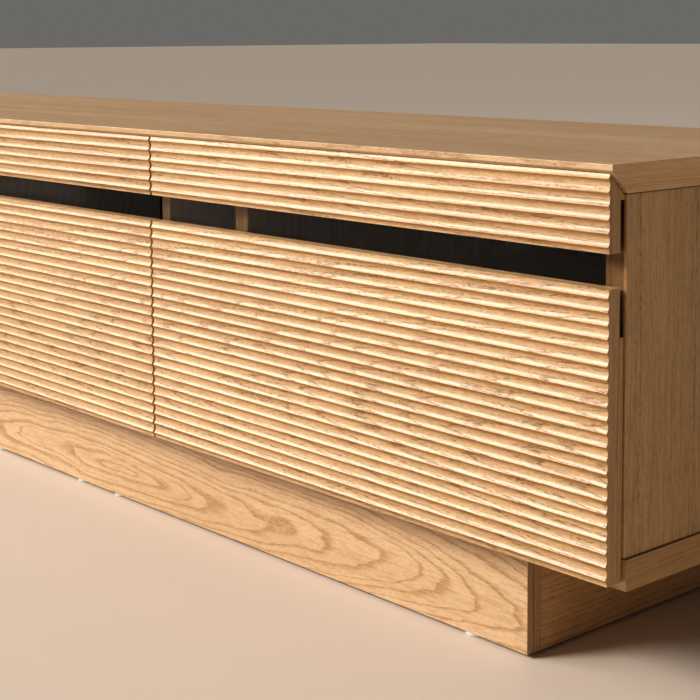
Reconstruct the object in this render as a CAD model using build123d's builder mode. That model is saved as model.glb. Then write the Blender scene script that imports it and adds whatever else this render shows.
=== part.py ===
"""Low media cabinet on a recessed plinth, with three drop-down doors.

Each door is a scalloped strip and a scalloped board joined by one plate of
smoked glass, which shows as a slot between them. Millimetres, +X to the right,
+Y to the back, +Z up; the origin is on the floor under the middle of the top.
"""
import os
from build123d import *

os.makedirs("parts", exist_ok=True)

# Overall sizes
length = 2000.0
depth = 450.0
height = 465.0

# Boards of the carcass
top_thickness = 25.0
bottom_thickness = 27.5
panel_thickness = 22.0
nose_height = 5.0          # upright front edge of the top, above its 45 degree bevel
end_inset = 2.0            # side panels stand in from the ends of top and bottom
edge_ease = 0.8            # rounding of the long edges
cut_past = 1.0             # how far a cut runs out past an open face
narrow_bay = 122.0         # clear width between a divider and its partition

# Doors
door_count = 3
door_thickness = 21.0
back_gap = 1.5             # between the doors and the carcass
side_gap = 4.0             # between two doors
mitre_gap = 1.0            # under the bevel of the top, measured upright
door_cover = 19.5          # how far a door reaches below the floor of the bays
strip_height = 68.4
slot_height = 29.4

# Scallops
scallop_pitch = 11.35
scallop_depth = 2.2
ridge_land = 0.4
board_ridge_drop = 7.4     # first ridge below the top edge of a lower board

# Glass
glass_thickness = 5.0
glass_land = 3.5           # wood left above the glass on the back of the strip
glass_overlap = 42.0       # glass behind the lower board
glass_screw_inset = 60.0
glass_screw_length = 12.0
glass_screw_head = 6.0     # radius of the wide flat head
glass_screw_head_height = 1.6

# Plinth
plinth_height = 98.0
plinth_thickness = 18.0
plinth_front_recess = 40.0
plinth_end_recess = 126.0
plinth_back_recess = 30.0
rail_offset = 148.0        # cross rails, from the middle
glide_radius = 12.0
glide_height = 3.5
glide_end_inset = 74.0
glide_rail_offset = 43.0

# Back panels
back_thickness = 6.0
back_inset = 12.0          # from the back edges of the boards to the back panels
groove_depth = 8.0
groove_clearance = 0.2
groove_end_gap = 1.0
cable_hole_radius = 30.0
cable_hole_height = 55.0   # above the floor of the bays
grommet_wall = 3.0
grommet_flange = 5.0
grommet_flange_thickness = 2.0

# Shelves
shelf_thickness = 20.0
shelf_height = 150.0       # underside above the floor of the bays
shelf_setback = 45.0
shelf_gap = 1.0            # at each end of a shelf
shelf_back_gap = 5.0
pin_radius = 2.5
pin_in_panel = 10.0
pin_reach = 9.0
pin_spacing = 32.0
pin_inset = 37.0

# Joints between the boards
dowel_radius = 4.0
dowel_half = 14.0
dowel_inset = 48.0         # outer dowels from the front and back of an upright board
dowel_to_cam = 50.0
cam_radius = 7.5
cam_depth = 13.0
cam_distance = 24.0        # middle of a cam nut from the end of its panel
cam_bolt_radius = 3.0
cam_bolt_in_board = 11.0
joint_clearance = 0.1

# Screws of the plinth
plinth_screw_radius = 3.0
plinth_screw_head = 5.5
plinth_screw_head_height = 3.0
plinth_screw_length = 60.0
plinth_screw_end_inset = 90.0

# Hinges
hinge_length = 60.0
hinge_inset = 120.0        # middle of a hinge from the end of its door
leaf_thickness = 1.5
leaf_space = 0.2           # between the two closed leaves
door_leaf_height = 34.0
knuckle_radius = 3.0
knuckle_gap = 0.3
frame_knuckle = 18.0
hinge_pin_radius = 1.5
pin_clearance = 0.05
pin_head = 1.0
screw_radius = 1.5
screw_head_radius = 3.0
door_screw_length = 13.0
frame_screw_length = 16.0
leaf_screw_spacing = 42.0

# Magnetic catches and bumpers
catch_width = 14.0
catch_length = 38.0
catch_height = 16.0
catch_below_glass = 22.0
strike_thickness = 1.5
strike_recess = 0.5        # let into the back of the door
strike_width = 14.0
strike_height = 24.0
bumper_radius = 4.0
bumper_thickness = 1.3
bumper_bottom_inset = 34.0

# Places that follow from the sizes above
front = -depth / 2
back = depth / 2
top_under = height - top_thickness
bottom_under = glide_height + plinth_height
bay_floor = bottom_under + bottom_thickness
carcass_front = front + door_thickness + back_gap
side_outer = length / 2 - end_inset
side_inner = side_outer - panel_thickness
module = 2 * side_outer / door_count
divider_x = module / 2
half_panel = panel_thickness / 2
partition_x = divider_x + narrow_bay + panel_thickness
door_length = module - side_gap
door_back = front + door_thickness
door_bottom = bay_floor - door_cover
strip_point = height - nose_height - mitre_gap
strip_bottom = strip_point - strip_height
board_top = strip_bottom - slot_height
board_height = board_top - door_bottom
glass_top = strip_point - door_thickness - glass_land
glass_bottom = board_top - glass_overlap
glass_front = door_back - glass_thickness
back_panel_back = back - back_inset
back_panel_front = back_panel_back - back_thickness
plinth_top = bottom_under
plinth_front_y = front + plinth_front_recess
plinth_back_y = back - plinth_back_recess
plinth_half = length / 2 - plinth_end_recess
screw_run = plinth_half - plinth_screw_end_inset
plinth_screw_x = [-screw_run, -screw_run / 2, screw_run / 2, screw_run]
plinth_screw_y = [plinth_front_y + plinth_thickness / 2, plinth_back_y - plinth_thickness / 2]
hinge_y = (door_back + carcass_front) / 2
hinge_z = door_bottom - knuckle_radius - knuckle_gap
door_leaf_back = hinge_y - leaf_space / 2
door_leaf_front = door_leaf_back - leaf_thickness
frame_leaf_front = hinge_y + leaf_space / 2
frame_leaf_back = frame_leaf_front + leaf_thickness
hinge_places = [door_length / 2 - hinge_inset, hinge_inset - door_length / 2]
catch_z = glass_bottom - catch_below_glass

# Doors, and the upright boards of the carcass, from left to right
door_names = ["left", "middle", "right"]
door_places = {name: (i - 1) * module for i, name in enumerate(door_names)}
sides = {"left": -1, "right": 1}
side_middle = side_outer - half_panel


def save(piece, node):
    """Label one finished piece and write it as its own file."""
    piece.part.label = node
    export_step(piece.part, f"parts/{node}.step")


def block(x, y, z, mode=Mode.ADD):
    """A box between two values on each axis."""
    middle = [(low + high) / 2 for low, high in (x, y, z)]
    with Locations(tuple(middle)):
        Box(x[1] - x[0], y[1] - y[0], z[1] - z[0], mode=mode)


def bore(place, radius, span, axis="Z", mode=Mode.SUBTRACT):
    """A cylinder centred on a place, along one axis."""
    turn = {"X": (0, 90, 0), "Y": (90, 0, 0), "Z": (0, 0, 0)}[axis]
    with Locations(place):
        Cylinder(radius, span, rotation=turn, mode=mode)


def joint_rows(x):
    """Places of the dowels and of the cam fittings along the end of an upright board."""
    middle = (carcass_front + back_panel_front) / 2
    reach = (back_panel_front - carcass_front) / 2
    dowel_reach = reach - dowel_inset
    cam_reach = dowel_reach - dowel_to_cam
    dowels = [(x, middle + offset) for offset in (-dowel_reach, 0, dowel_reach)]
    cams = [(x, middle + offset) for offset in (-cam_reach, cam_reach)]
    return dowels, cams


def upright_centres():
    """Middle of every upright board, with the side on which its cam nuts sit."""
    centres = [(-side_middle, 1), (side_middle, -1)]
    centres += [(-divider_x, 1), (divider_x, -1)]
    centres += [(-partition_x, -1), (partition_x, 1)]
    return centres


# Carcass ---------------------------------------------------------------------

def cut_joint_holes_in_board(face_z):
    """Blind holes for the dowels and cam bolts in the top or bottom board."""
    for x, _ in upright_centres():
        dowels, cams = joint_rows(x)
        for dowel_x, dowel_y in dowels:
            bore((dowel_x, dowel_y, face_z), dowel_radius, 2 * dowel_half)
        for cam_x, cam_y in cams:
            bore((cam_x, cam_y, face_z), cam_bolt_radius, 2 * cam_bolt_in_board)


def cut_back_groove(z):
    """Long groove for the back panels in the top or bottom board."""
    groove_end = side_inner + groove_depth
    low = back_panel_front - groove_clearance
    high = back_panel_back + groove_clearance
    heights = (z - groove_depth, z + groove_depth)
    block((-groove_end, groove_end), (low, high), heights, Mode.SUBTRACT)


with BuildPart() as top_board:
    with BuildSketch(Plane.YZ.offset(-length / 2)):
        with BuildLine():
            bevel_run = top_thickness - nose_height
            Polyline(
                (front, height),
                (back, height),
                (back, top_under),
                (front + bevel_run, top_under),
                (front, height - nose_height),
                close=True,
            )
        make_face()
    extrude(amount=length)
    fillet(top_board.edges().filter_by(Axis.X).group_by(Axis.Z)[-1], edge_ease)
    cut_joint_holes_in_board(top_under)
    cut_back_groove(top_under)
save(top_board, "top_board")

with BuildPart() as bottom_board:
    block((-length / 2, length / 2), (carcass_front, back), (bottom_under, bay_floor))
    fillet(bottom_board.edges().filter_by(Axis.X), edge_ease)
    cut_joint_holes_in_board(bay_floor)
    cut_back_groove(bay_floor)
    for door_x in door_places.values():
        for hinge_x in hinge_places:
            middle = door_x + hinge_x
            half_mortise = hinge_length / 2 + pin_head + knuckle_gap
            reach = (middle - half_mortise, middle + half_mortise)
            block(reach, (front, frame_leaf_back), (hinge_z, bay_floor + cut_past), Mode.SUBTRACT)
            bore((middle, hinge_y, hinge_z), knuckle_radius + 2 * knuckle_gap, 2 * half_mortise, "X")
            for screw_x in (middle - leaf_screw_spacing / 2, middle + leaf_screw_spacing / 2):
                screw_z = (bay_floor + door_bottom) / 2
                bore((screw_x, frame_leaf_back, screw_z), screw_radius, 2 * frame_screw_length, "Y")
    for screw_x in plinth_screw_x:
        for screw_y in plinth_screw_y:
            bore((screw_x, screw_y, bay_floor), plinth_screw_radius, 4 * bottom_thickness)
            bore((screw_x, screw_y, bay_floor), plinth_screw_head, 2 * plinth_screw_head)
save(bottom_board, "bottom_board")


def shelf_pin_rows(front_y, back_y):
    """Places (y, z) of the pin holes on one face of an upright board."""
    under = bay_floor + shelf_height
    rows = []
    for y in (front_y + shelf_setback + pin_inset, back_y - pin_inset):
        for step in (-1, 0, 1):
            rows.append((y, under - pin_radius + step * pin_spacing))
    return rows


def build_upright(x, nut_side, pin_faces, groove_faces, back_edge):
    """One upright board with its cam, dowel and shelf-pin holes and its grooves."""
    with BuildPart() as upright:
        block((x - half_panel, x + half_panel), (carcass_front, back_edge), (bay_floor, top_under))
        fillet(upright.edges().filter_by(Axis.Z).group_by(Axis.Y)[0], edge_ease)
        dowels, cams = joint_rows(x)
        for end_z, inward in ((bay_floor, 1), (top_under, -1)):
            for dowel_x, dowel_y in dowels:
                bore((dowel_x, dowel_y, end_z), dowel_radius, 2 * dowel_half)
            for cam_x, cam_y in cams:
                nut_z = end_z + inward * cam_distance
                face_x = x + nut_side * half_panel
                bolt_z = (end_z + nut_z) / 2
                bore((face_x, cam_y, nut_z), cam_radius, 2 * cam_depth, "X")
                bore((cam_x, cam_y, bolt_z), cam_bolt_radius + joint_clearance, cam_distance)
        for face in pin_faces:
            for y, z in shelf_pin_rows(carcass_front, back_panel_front):
                bore((x + face * half_panel, y, z), pin_radius, 2 * pin_in_panel, "X")
        for face in groove_faces:
            groove_low = back_panel_front - groove_clearance
            groove_high = back_panel_back + groove_clearance
            block(
                (x + face * half_panel - groove_depth, x + face * half_panel + groove_depth),
                (groove_low, groove_high),
                (bay_floor, top_under),
                Mode.SUBTRACT,
            )
    return upright


for side, sign in sides.items():
    side_panel = build_upright(sign * side_middle, -sign, [-sign], [-sign], back)
    save(side_panel, f"side_panel_{side}")

    divider = build_upright(sign * divider_x, -sign, [-sign], [-1, 1], back)
    save(divider, f"divider_{side}")

    partition = build_upright(
        sign * partition_x, sign, [sign], [], back_panel_front - groove_clearance
    )
    save(partition, f"partition_{side}")

# Clear width of the bay behind each door, and the back panel that closes it
bay_spans = {
    "left": (-side_inner, -divider_x - half_panel),
    "middle": (half_panel - divider_x, divider_x - half_panel),
    "right": (divider_x + half_panel, side_inner),
}
groove_fit = groove_depth - groove_end_gap
cable_z = bay_floor + cable_hole_height

for name, (low_x, high_x) in bay_spans.items():
    cable_x = door_places[name] + {"left": -1, "middle": 0, "right": 1}[name] * narrow_bay / 2
    middle_y = (back_panel_front + back_panel_back) / 2

    with BuildPart() as back_panel:
        block(
            (low_x - groove_fit, high_x + groove_fit),
            (back_panel_front, back_panel_back),
            (bay_floor - groove_fit, top_under + groove_fit),
        )
        bore((cable_x, middle_y, cable_z), cable_hole_radius, 4 * back_thickness, "Y")
    save(back_panel, f"back_panel_{name}")

    with BuildPart() as grommet:
        with BuildSketch(Plane.YZ.offset(cable_x)) as section:
            inner = cable_hole_radius - grommet_wall
            rim = cable_hole_radius + grommet_flange
            with BuildLine():
                Polyline(
                    (back_panel_front - grommet_flange_thickness, cable_z + inner),
                    (back_panel_back + grommet_wall, cable_z + inner),
                    (back_panel_back + grommet_wall, cable_z + cable_hole_radius),
                    (back_panel_front, cable_z + cable_hole_radius),
                    (back_panel_front, cable_z + rim),
                    (back_panel_front - grommet_flange_thickness, cable_z + rim),
                    close=True,
                )
            make_face()
        revolve(axis=Axis((cable_x, 0, cable_z), (0, 1, 0)))
    save(grommet, f"cable_grommet_{name}")

# Shelves: the wide part of each bay
shelf_spans = {
    "left": (-side_inner, -partition_x - half_panel),
    "middle": bay_spans["middle"],
    "right": (partition_x + half_panel, side_inner),
}
shelf_under = bay_floor + shelf_height
shelf_back = back_panel_front - shelf_back_gap
for name, (low_x, high_x) in shelf_spans.items():
    with BuildPart() as shelf:
        block(
            (low_x + shelf_gap, high_x - shelf_gap),
            (carcass_front + shelf_setback, shelf_back),
            (shelf_under, shelf_under + shelf_thickness),
        )
        fillet(shelf.edges().filter_by(Axis.X).group_by(Axis.Y)[0], edge_ease)
    save(shelf, f"shelf_{name}")

with BuildPart() as shelf_pins:
    pin_rows = sorted({y for y, z in shelf_pin_rows(carcass_front, back_panel_front)})
    for low_x, high_x in shelf_spans.values():
        for wall_x, inward in ((low_x, 1), (high_x, -1)):
            for y in pin_rows:
                middle_x = wall_x + inward * (pin_reach - pin_in_panel) / 2
                bore(
                    (middle_x, y, shelf_under - pin_radius),
                    pin_radius,
                    pin_in_panel + pin_reach,
                    "X",
                    Mode.ADD,
                )
save(shelf_pins, "shelf_pins")

with BuildPart() as dowels_all:
    for x, _ in upright_centres():
        for dowel_x, dowel_y in joint_rows(x)[0]:
            for end_z in (bay_floor, top_under):
                bore((dowel_x, dowel_y, end_z), dowel_radius, 2 * dowel_half, "Z", Mode.ADD)
save(dowels_all, "dowels")

with BuildPart() as cam_bolts:
    for x, _ in upright_centres():
        for cam_x, cam_y in joint_rows(x)[1]:
            for end_z, inward in ((bay_floor, 1), (top_under, -1)):
                low = end_z - inward * cam_bolt_in_board
                high = end_z + inward * cam_distance
                bore((cam_x, cam_y, (low + high) / 2), cam_bolt_radius, abs(high - low), "Z", Mode.ADD)
save(cam_bolts, "cam_bolts")

with BuildPart() as cam_nuts:
    for x, nut_side in upright_centres():
        for cam_x, cam_y in joint_rows(x)[1]:
            for end_z, inward in ((bay_floor, 1), (top_under, -1)):
                nut_z = end_z + inward * cam_distance
                face_x = x + nut_side * half_panel
                nut_x = face_x - nut_side * cam_depth / 2
                bore((nut_x, cam_y, nut_z), cam_radius, cam_depth, "X", Mode.ADD)
                mouth = (cam_x, cam_y, nut_z - inward * cam_radius)
                bore(mouth, cam_bolt_radius + joint_clearance, 2 * cam_radius)
save(cam_nuts, "cam_nuts")

# Plinth ----------------------------------------------------------------------

for node, low_y in (
    ("plinth_front", plinth_front_y),
    ("plinth_back", plinth_back_y - plinth_thickness),
):
    with BuildPart() as plinth_board:
        block(
            (-plinth_half, plinth_half),
            (low_y, low_y + plinth_thickness),
            (glide_height, plinth_top),
        )
        fillet(plinth_board.edges().filter_by(Axis.Z), edge_ease)
        for x in plinth_screw_x:
            bore(
                (x, low_y + plinth_thickness / 2, plinth_top),
                plinth_screw_radius,
                2 * (plinth_screw_length - bottom_thickness),
            )
    save(plinth_board, node)

plinth_run = (plinth_front_y + plinth_thickness, plinth_back_y - plinth_thickness)
for side, sign in sides.items():
    with BuildPart() as plinth_side:
        outer = sign * plinth_half
        inner = sign * (plinth_half - plinth_thickness)
        block((min(outer, inner), max(outer, inner)), plinth_run, (glide_height, plinth_top))
    save(plinth_side, f"plinth_side_{side}")

    with BuildPart() as plinth_rail:
        rail_x = sign * rail_offset
        half = plinth_thickness / 2
        block((rail_x - half, rail_x + half), plinth_run, (glide_height, plinth_top))
    save(plinth_rail, f"plinth_rail_{side}")

with BuildPart() as plinth_screws:
    head_low = bay_floor - plinth_screw_head
    shank = plinth_screw_length - plinth_screw_head
    for x in plinth_screw_x:
        for y in plinth_screw_y:
            bore((x, y, head_low - shank / 2), plinth_screw_radius, shank, "Z", Mode.ADD)
            head = (x, y, head_low + plinth_screw_head_height / 2)
            bore(head, plinth_screw_head, plinth_screw_head_height, "Z", Mode.ADD)
save(plinth_screws, "plinth_screws")

with BuildPart() as floor_glides:
    near_rail = [rail_offset - glide_rail_offset, rail_offset + glide_rail_offset]
    glide_x = [plinth_half - glide_end_inset] + near_rail
    for x in glide_x + [-value for value in glide_x]:
        for y in (plinth_front_y + glide_radius, plinth_back_y - glide_radius):
            bore((x, y, glide_height / 2), glide_radius, glide_height, "Z", Mode.ADD)
save(floor_glides, "floor_glides")

# Doors -----------------------------------------------------------------------

cove_chord = scallop_pitch - ridge_land
cove_radius = (cove_chord**2 / 4 + scallop_depth**2) / (2 * scallop_depth)
cove_y = front + scallop_depth - cove_radius


def cut_coves(first_ridge, step, low, high):
    """Circles that hollow the front of a door section, ridge to ridge."""
    cove_z = first_ridge + step * scallop_pitch / 2
    while low - scallop_pitch < cove_z < high + scallop_pitch:
        with Locations((cove_y, cove_z)):
            Circle(cove_radius, mode=Mode.SUBTRACT)
        cove_z += step * scallop_pitch


screw_x_places = [
    side * share * (door_length / 2 - glass_screw_inset) for side in (-1, 1) for share in (1 / 3, 1)
]
glass_screw_z = [(strip_bottom + glass_top) / 2, (board_top + glass_bottom) / 2]
glass_screw_in_wood = glass_screw_length - glass_thickness
bumper_places = [
    (side * (module / 2 - half_panel / 2 - side_gap / 4), z)
    for side in (-1, 1)
    for z in (glass_bottom - 2 * bumper_radius, door_bottom + bumper_bottom_inset)
]
door_leaf_top = hinge_z + door_leaf_height
door_screw_z = (door_bottom + door_leaf_top) / 2
strike_low = catch_z - strike_height / 2
strike_high = catch_z + strike_height / 2
strike_front = door_back - strike_recess
strike_back = strike_front + strike_thickness


def catch_places(name):
    """Wall that each catch of a door is fixed to, and the way it faces."""
    low_x, high_x = bay_spans[name]
    return [(low_x, 1), (high_x, -1)]


for name, door_x in door_places.items():
    door_start = door_x - door_length / 2

    with BuildPart() as door_strip:
        with BuildSketch(Plane.YZ.offset(door_start)):
            with BuildLine():
                Polyline(
                    (front, strip_bottom),
                    (door_back, strip_bottom),
                    (door_back, strip_point - door_thickness),
                    (front, strip_point),
                    close=True,
                )
            make_face()
            cut_coves(strip_bottom - scallop_pitch / 2, 1, strip_bottom, strip_point)
            rebate_height = glass_top - strip_bottom
            with Locations((door_back - glass_thickness / 2, strip_bottom + rebate_height / 2)):
                Rectangle(glass_thickness, rebate_height, mode=Mode.SUBTRACT)
        extrude(amount=door_length)
        for x in screw_x_places:
            bore((door_x + x, glass_front, glass_screw_z[0]), screw_radius, 2 * glass_screw_in_wood, "Y")
    save(door_strip, f"door_strip_{name}")

    with BuildPart() as door_board:
        with BuildSketch(Plane.YZ.offset(door_start)):
            with Locations(((front + door_back) / 2, (door_bottom + board_top) / 2)):
                Rectangle(door_thickness, board_height)
            cut_coves(board_top - board_ridge_drop + scallop_pitch, -1, door_bottom, board_top)
            with Locations((door_back - glass_thickness / 2, board_top - glass_overlap / 2)):
                Rectangle(glass_thickness, glass_overlap, mode=Mode.SUBTRACT)
        extrude(amount=door_length)
        for x in screw_x_places:
            bore((door_x + x, glass_front, glass_screw_z[1]), screw_radius, 2 * glass_screw_in_wood, "Y")
        for hinge_x in hinge_places:
            middle = door_x + hinge_x
            reach = (middle - hinge_length / 2, middle + hinge_length / 2)
            block(
                reach,
                (door_leaf_front, door_back + cut_past),
                (door_bottom - cut_past, door_leaf_top),
                Mode.SUBTRACT,
            )
            for x in (middle - leaf_screw_spacing / 2, middle + leaf_screw_spacing / 2):
                bore((x, door_leaf_front, door_screw_z), screw_radius, 2 * door_screw_length, "Y")
        for wall_x, inward in catch_places(name):
            x = wall_x + inward * catch_width / 2
            bore((x, door_back, catch_z), screw_radius, 2 * door_screw_length, "Y")
            block(
                (x - strike_width / 2, x + strike_width / 2),
                (strike_front, door_back + cut_past),
                (strike_low, strike_high),
                Mode.SUBTRACT,
            )
    save(door_board, f"door_board_{name}")

    with BuildPart() as door_glass:
        block(
            (door_start, door_start + door_length),
            (glass_front, door_back),
            (glass_bottom, glass_top),
        )
        for x in screw_x_places:
            for z in glass_screw_z:
                bore((door_x + x, door_back, z), screw_radius, 4 * glass_thickness, "Y")
    save(door_glass, f"door_glass_{name}")

    with BuildPart() as glass_screws:
        for x in screw_x_places:
            for z in glass_screw_z:
                shank = (door_x + x, door_back - glass_screw_length / 2, z)
                bore(shank, screw_radius, glass_screw_length, "Y", Mode.ADD)
                head = (door_x + x, door_back + glass_screw_head_height / 2, z)
                bore(head, glass_screw_head, glass_screw_head_height, "Y", Mode.ADD)
    save(glass_screws, f"glass_screws_{name}")

    with BuildPart() as strike_plates:
        for wall_x, inward in catch_places(name):
            x = wall_x + inward * catch_width / 2
            block(
                (x - strike_width / 2, x + strike_width / 2),
                (strike_front, strike_back),
                (strike_low, strike_high),
            )
            with Locations(Location((x, strike_back, catch_z), (-90, 0, 0))):
                CounterSinkHole(screw_radius, screw_head_radius, 2 * strike_thickness)
    save(strike_plates, f"strike_plates_{name}")

    with BuildPart() as bumpers:
        for x, z in bumper_places:
            middle = (door_x + x, door_back + bumper_thickness / 2, z)
            bore(middle, bumper_radius, bumper_thickness, "Y", Mode.ADD)
    save(bumpers, f"door_bumpers_{name}")

    with BuildPart() as door_leaves:
        for hinge_x in hinge_places:
            middle = door_x + hinge_x
            reach = (middle - hinge_length / 2, middle + hinge_length / 2)
            centre_knuckle = hinge_length - 2 * (frame_knuckle + knuckle_gap)
            block(reach, (door_leaf_front, door_leaf_back), (door_bottom, door_leaf_top))
            block(
                (middle - centre_knuckle / 2, middle + centre_knuckle / 2),
                (door_leaf_front, door_leaf_back),
                (hinge_z, door_leaf_top),
            )
            bore((middle, hinge_y, hinge_z), knuckle_radius, centre_knuckle, "X", Mode.ADD)
            bore((middle, hinge_y, hinge_z), hinge_pin_radius + pin_clearance, hinge_length, "X")
            for x in (middle - leaf_screw_spacing / 2, middle + leaf_screw_spacing / 2):
                with Locations(Location((x, door_leaf_back, door_screw_z), (-90, 0, 0))):
                    CounterSinkHole(screw_radius, screw_head_radius, 2 * leaf_thickness)
    save(door_leaves, f"hinge_door_leaves_{name}")

    with BuildPart() as door_screws:
        places = [
            (door_x + hinge_x + offset, door_leaf_back, door_screw_z)
            for hinge_x in hinge_places
            for offset in (-leaf_screw_spacing / 2, leaf_screw_spacing / 2)
        ]
        places += [
            (wall_x + inward * catch_width / 2, strike_back, catch_z)
            for wall_x, inward in catch_places(name)
        ]
        for x, face_y, z in places:
            head_depth = screw_head_radius - screw_radius
            with BuildSketch(Plane.YZ.offset(x)):
                with BuildLine():
                    Polyline(
                        (face_y, z),
                        (face_y, z + screw_head_radius),
                        (face_y - head_depth, z + screw_radius),
                        (face_y - door_screw_length, z + screw_radius),
                        (face_y - door_screw_length, z),
                        close=True,
                    )
                make_face()
            revolve(axis=Axis((x, 0, z), (0, 1, 0)))
    save(door_screws, f"door_screws_{name}")

# Hinge parts and catches that stay on the carcass ----------------------------

frame_screw_z = (bay_floor + door_bottom) / 2
frame_leaf_top = bay_floor - edge_ease

with BuildPart() as frame_leaves:
    for door_x in door_places.values():
        for hinge_x in hinge_places:
            middle = door_x + hinge_x
            reach = (middle - hinge_length / 2, middle + hinge_length / 2)
            block(
                reach,
                (frame_leaf_front, frame_leaf_back),
                (door_bottom, frame_leaf_top),
            )
            for end in (-1, 1):
                outer_x = middle + end * hinge_length / 2
                inner_x = outer_x - end * frame_knuckle
                low_x = min(outer_x, inner_x)
                high_x = max(outer_x, inner_x)
                block((low_x, high_x), (frame_leaf_front, frame_leaf_back), (hinge_z, frame_leaf_top))
                knuckle = ((low_x + high_x) / 2, hinge_y, hinge_z)
                bore(knuckle, knuckle_radius, frame_knuckle, "X", Mode.ADD)
            bore((middle, hinge_y, hinge_z), hinge_pin_radius + pin_clearance, 2 * hinge_length, "X")
            for x in (middle - leaf_screw_spacing / 2, middle + leaf_screw_spacing / 2):
                with Locations(Location((x, frame_leaf_front, frame_screw_z), (90, 0, 0))):
                    CounterSinkHole(screw_radius, screw_head_radius, 2 * leaf_thickness)
save(frame_leaves, "hinge_frame_leaves")

with BuildPart() as hinge_pins:
    for door_x in door_places.values():
        for hinge_x in hinge_places:
            middle = door_x + hinge_x
            bore((middle, hinge_y, hinge_z), hinge_pin_radius, hinge_length, "X", Mode.ADD)
            for end in (-1, 1):
                head_x = middle + end * (hinge_length + pin_head) / 2
                bore((head_x, hinge_y, hinge_z), knuckle_radius - 2 * knuckle_gap, pin_head, "X", Mode.ADD)
save(hinge_pins, "hinge_pins")

with BuildPart() as frame_screws:
    for door_x in door_places.values():
        for hinge_x in hinge_places:
            for offset in (-leaf_screw_spacing / 2, leaf_screw_spacing / 2):
                x = door_x + hinge_x + offset
                head_depth = screw_head_radius - screw_radius
                with BuildSketch(Plane.YZ.offset(x)):
                    with BuildLine():
                        Polyline(
                            (frame_leaf_front, frame_screw_z),
                            (frame_leaf_front, frame_screw_z + screw_head_radius),
                            (frame_leaf_front + head_depth, frame_screw_z + screw_radius),
                            (frame_leaf_front + frame_screw_length, frame_screw_z + screw_radius),
                            (frame_leaf_front + frame_screw_length, frame_screw_z),
                            close=True,
                        )
                    make_face()
                revolve(axis=Axis((x, 0, frame_screw_z), (0, 1, 0)))
save(frame_screws, "hinge_frame_screws")

with BuildPart() as magnet_catches:
    for name in door_names:
        for wall_x, inward in catch_places(name):
            inner_x = wall_x + inward * catch_width
            block(
                (min(wall_x, inner_x), max(wall_x, inner_x)),
                (carcass_front, carcass_front + catch_length),
                (catch_z - catch_height / 2, catch_z + catch_height / 2),
            )
save(magnet_catches, "magnet_catches")
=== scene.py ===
"""Finishes for the low media cabinet: scalloped oak doors, smoked glass and its fittings."""

import math

import bmesh
import bpy
from bpy.props import FloatProperty, FloatVectorProperty, IntProperty, PointerProperty
from mathutils import Matrix, Vector


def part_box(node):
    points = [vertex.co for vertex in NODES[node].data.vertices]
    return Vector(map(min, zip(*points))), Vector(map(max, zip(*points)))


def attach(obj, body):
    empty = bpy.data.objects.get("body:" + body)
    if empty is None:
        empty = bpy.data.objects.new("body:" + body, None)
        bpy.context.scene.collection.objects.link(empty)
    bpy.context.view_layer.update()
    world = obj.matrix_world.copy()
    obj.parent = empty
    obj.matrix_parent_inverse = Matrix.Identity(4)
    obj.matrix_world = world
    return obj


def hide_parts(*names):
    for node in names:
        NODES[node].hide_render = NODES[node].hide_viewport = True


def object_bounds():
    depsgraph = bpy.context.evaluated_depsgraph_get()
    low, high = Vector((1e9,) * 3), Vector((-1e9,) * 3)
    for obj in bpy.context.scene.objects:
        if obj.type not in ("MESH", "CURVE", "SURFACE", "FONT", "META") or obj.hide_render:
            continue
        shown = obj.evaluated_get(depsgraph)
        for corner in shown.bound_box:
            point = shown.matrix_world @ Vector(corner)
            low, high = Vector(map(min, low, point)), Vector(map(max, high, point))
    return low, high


bl_info = {
    "name": "Scalloped Media Cabinet",
    "version": (1, 0, 0),
    "blender": (4, 5, 0),
    "location": "View3D > Sidebar > Cabinet",
    "description": "Builds the finished looks of a low oak media cabinet round its frame",
    "category": "Object",
}

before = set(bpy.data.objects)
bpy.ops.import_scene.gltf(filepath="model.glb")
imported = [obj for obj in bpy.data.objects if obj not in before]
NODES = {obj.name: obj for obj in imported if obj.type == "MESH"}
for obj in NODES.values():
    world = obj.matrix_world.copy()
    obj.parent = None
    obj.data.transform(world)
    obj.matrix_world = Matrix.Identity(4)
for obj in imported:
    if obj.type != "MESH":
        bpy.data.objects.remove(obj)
CAD_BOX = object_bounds()
DOORS = ("left", "middle", "right")
SIDES = ("left", "right")
MM = 0.001
WELD = 0.01 * MM
QUARTER = math.pi / 2


# Settings --------------------------------------------------------------------

def colour(name, description, default):
    """A colour setting, in linear light."""
    return FloatVectorProperty(
        name=name, description=description, default=default, subtype="COLOR", size=3, min=0, max=1
    )


def size(name, description, millimetres):
    """A length setting, with its default in millimetres."""
    return FloatProperty(
        name=name, description=description, default=millimetres * MM, unit="LENGTH", precision=5
    )


class CabinetDoorSettings(bpy.types.PropertyGroup):
    pitch: size("Scallop pitch", "Height of one scallop, ridge to ridge", 11.35)
    depth: size("Scallop depth", "Depth of the hollows behind the ridges", 2.2)
    land: size("Ridge land", "Flat left along each ridge", 0.4)
    nose: size("Nose height", "Upright edge of the top board above its bevel", 5.0)
    mitre_gap: size("Mitre gap", "Gap under the bevel of the top, measured upright", 1.0)
    ridge_drop: size("Ridge drop", "First ridge below the top edge of a lower board", 7.4)
    arc_steps: IntProperty(
        name="Arc steps", description="Straight steps round one hollow", default=14, min=4
    )


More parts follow.
